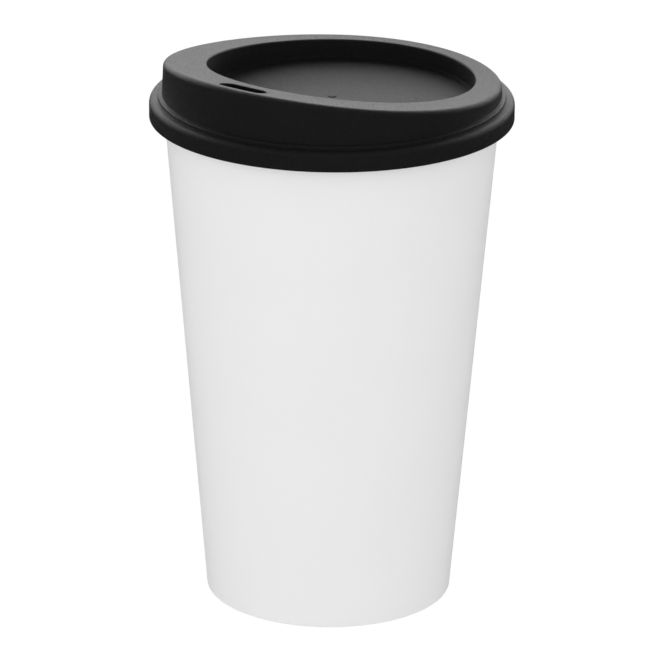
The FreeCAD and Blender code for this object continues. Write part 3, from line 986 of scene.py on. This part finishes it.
# %% [markdown]
# ## The camera
# A long lens, far away, looking down by about 20 degrees from the right of the slot. The distance,
# tilt and roll were fitted to the circles of the foot and the brim, so the same numbers give the
# same picture. The camera moves sideways in its own plane instead of using shift.

# %% Place the camera
AIM = Vector((0, 0, 0.060))
DISTANCE = 1.31537
CAMERA_AZIMUTH = 36.2
CAMERA_DOWN = 20.226
CAMERA_ROLL = 0.4541
CAMERA_SIDESTEP = (0.00068, 0.00931)
view_turn = (Matrix.Rotation(math.radians(CAMERA_AZIMUTH), 3, "Z")
             @ Matrix.Rotation(math.radians(90 - CAMERA_DOWN), 3, "X")
             @ Matrix.Rotation(math.radians(CAMERA_ROLL), 3, "Z"))
camera_data = bpy.data.cameras.new("long_lens")
camera_data.sensor_width = 36
camera_data.lens = 271.76
camera_data.clip_start = 0.05
camera_data.clip_end = 20
camera = linked("camera", camera_data)
camera_place = AIM + view_turn @ Vector((*CAMERA_SIDESTEP, DISTANCE))
camera.matrix_world = Matrix.Translation(camera_place) @ view_turn.to_4x4()
bpy.context.scene.camera = camera
print("camera at", [round(v, 3) for v in camera_place])

# %% [markdown]
# ## Floor and surroundings
# The object stands on a white sweep. To the camera the floor is mostly its own even white, with a
# little of the real shading left, so that the soft contact shadow stays. From below it can be seen
# through. What the lid mirrors is a studio with a bright backdrop and far floor behind the object
# and a dim photographer's side and near floor, which keeps the front of the black lid deep while its
# top turns grey. For diffuse light the world is brighter near the horizon than overhead, and that
# lights the cup's upright wall evenly.

# %% Settings and helpers for the surroundings
GLOSS_FRONT = 0.08
GLOSS_TOP = 0.9
GLOSS_BEHIND = 1.6
GLOSS_FLOOR = 0.03
BEHIND = (-math.sin(math.radians(CAMERA_AZIMUTH)), math.cos(math.radians(CAMERA_AZIMUTH)), 0)


def smooth_range(tree, value, low, high, to_low, to_high):
    """A soft change from one value to another while the input runs from low to high."""
    node = tree.nodes.new("ShaderNodeMapRange")
    node.interpolation_type = "SMOOTHSTEP"
    node.inputs["From Min"].default_value = low
    node.inputs["From Max"].default_value = high
    node.inputs["To Min"].default_value = to_low
    node.inputs["To Max"].default_value = to_high
    tree.links.new(value, node.inputs["Value"])
    return node.outputs["Result"]


def towards_back(tree, place):
    """How far a place or a direction lies towards the backdrop."""
    node = tree.nodes.new("ShaderNodeVectorMath")
    node.operation = "DOT_PRODUCT"
    node.inputs[1].default_value = BEHIND
    tree.links.new(place, node.inputs[0])
    return node.outputs["Value"]


# %% Floor
FLOOR_HALF = 6
FLOOR_WHITE = 1.06
OWN_WHITE = 0.86
FAR_FLOOR = (2.0, 5.0)
floor_mesh = bpy.data.meshes.new("studio_floor")
floor_mesh.from_pydata([(-FLOOR_HALF, -FLOOR_HALF, 0), (FLOOR_HALF, -FLOOR_HALF, 0),
                        (FLOOR_HALF, FLOOR_HALF, 0), (-FLOOR_HALF, FLOOR_HALF, 0)], [], [(0, 1, 2, 3)])
floor = linked("studio_floor", floor_mesh)
floor_white = bpy.data.materials.new("floor_white")
floor_white.use_nodes = True
tree = floor_white.node_tree
shader = tree.nodes["Principled BSDF"]
shader.inputs["Base Color"].default_value = (0.93, 0.93, 0.93, 1)
shader.inputs["Roughness"].default_value = 0.9
shader.inputs["Specular IOR Level"].default_value = 0.0
rays = tree.nodes.new("ShaderNodeLightPath")
seen = math_node(tree, "MAXIMUM", rays.outputs["Is Camera Ray"], rays.outputs["Is Glossy Ray"])
any_seen = math_node(tree, "MAXIMUM", seen, rays.outputs["Is Transmission Ray"])
share = math_node(tree, "MULTIPLY", any_seen, OWN_WHITE)
own_share = math_node(tree, "MAXIMUM", share, rays.outputs["Is Glossy Ray"])
where = tree.nodes.new("ShaderNodeTexCoord")
depth = towards_back(tree, where.outputs["Object"])
mirrored = smooth_range(tree, depth, *FAR_FLOOR, GLOSS_FLOOR, GLOSS_BEHIND)
glow = tree.nodes.new("ShaderNodeEmission")
floor_glow = blended(floor_white, rays.outputs["Is Glossy Ray"], FLOOR_WHITE, mirrored)
tree.links.new(floor_glow, glow.inputs["Strength"])
mix = tree.nodes.new("ShaderNodeMixShader")
tree.links.new(own_share, mix.inputs[0])
tree.links.new(shader.outputs[0], mix.inputs[1])
tree.links.new(glow.outputs[0], mix.inputs[2])
sides = tree.nodes.new("ShaderNodeNewGeometry")
clear = tree.nodes.new("ShaderNodeBsdfTransparent")
by_side = tree.nodes.new("ShaderNodeMixShader")
tree.links.new(sides.outputs["Backfacing"], by_side.inputs[0])
tree.links.new(mix.outputs[0], by_side.inputs[1])
tree.links.new(clear.outputs[0], by_side.inputs[2])
tree.links.new(by_side.outputs[0], tree.nodes["Material Output"].inputs["Surface"])
floor_mesh.materials.append(floor_white)
print("floor ready")

# %% World
WORLD_LOW = 1.49
WORLD_HIGH = 0.51
SKY_BAND = (0.15, 0.75)
BACKDROP_BAND = (0.4, 0.88)
CEILING_BAND = (0.05, 0.6)
world = bpy.data.worlds.new("studio")
bpy.context.scene.world = world
world.use_nodes = True
tree = world.node_tree
where = tree.nodes.new("ShaderNodeTexCoord")
direction = where.outputs["Generated"]
height = tree.nodes.new("ShaderNodeSeparateXYZ")
tree.links.new(direction, height.inputs[0])
rays = tree.nodes.new("ShaderNodeLightPath")
backdrop = smooth_range(tree, towards_back(tree, direction), *BACKDROP_BAND, GLOSS_FRONT, GLOSS_BEHIND)
ceiling = smooth_range(tree, height.outputs["Z"], *CEILING_BAND, 1.0, GLOSS_TOP)
mirrored = math_node(tree, "MULTIPLY", backdrop, ceiling)
sky = smooth_range(tree, height.outputs["Z"], *SKY_BAND, WORLD_LOW, WORLD_HIGH)
lit = blended(world, rays.outputs["Is Glossy Ray"], sky, mirrored)
seen = math_node(tree, "MAXIMUM", rays.outputs["Is Camera Ray"], rays.outputs["Is Transmission Ray"])
background = tree.nodes["Background"]
background.inputs["Color"].default_value = (1, 1, 1, 1)
tree.links.new(blended(world, seen, lit, 1.0), background.inputs["Strength"])
print("world ready")

# %% [markdown]
# ## Lamps
# Two large soft lamps stand in front, the left one stronger. They give the cup its slight fall of
# tone towards the right, and nothing mirrors them.

# %% Lamps
LAMP_REACH = 1.6
LAMP_HEIGHT = 0.35
LAMP_TARGET = Vector((0, 0, 0.07))
LAMP_SIZE = 1.2


def soft_lamp(name, degrees, power):
    """A disc lamp at an angle from the camera's side, positive to the right, aimed at the cup."""
    turn_to = math.radians(CAMERA_AZIMUTH + degrees)
    data = bpy.data.lights.new(name, "AREA")
    data.shape = "DISK"
    data.size = LAMP_SIZE
    data.energy = power
    lamp = linked(name, data)
    lamp.location = (LAMP_REACH * math.sin(turn_to), -LAMP_REACH * math.cos(turn_to), LAMP_HEIGHT)
    lamp.rotation_euler = (LAMP_TARGET - lamp.location).to_track_quat("-Z", "Y").to_euler()
    lamp.visible_glossy = False


soft_lamp("left_softbox", -38, 3.0)
soft_lamp("right_softbox", 34, 1.3)
bpy.context.scene.view_settings.view_transform = "Standard"
print("lamps ready")
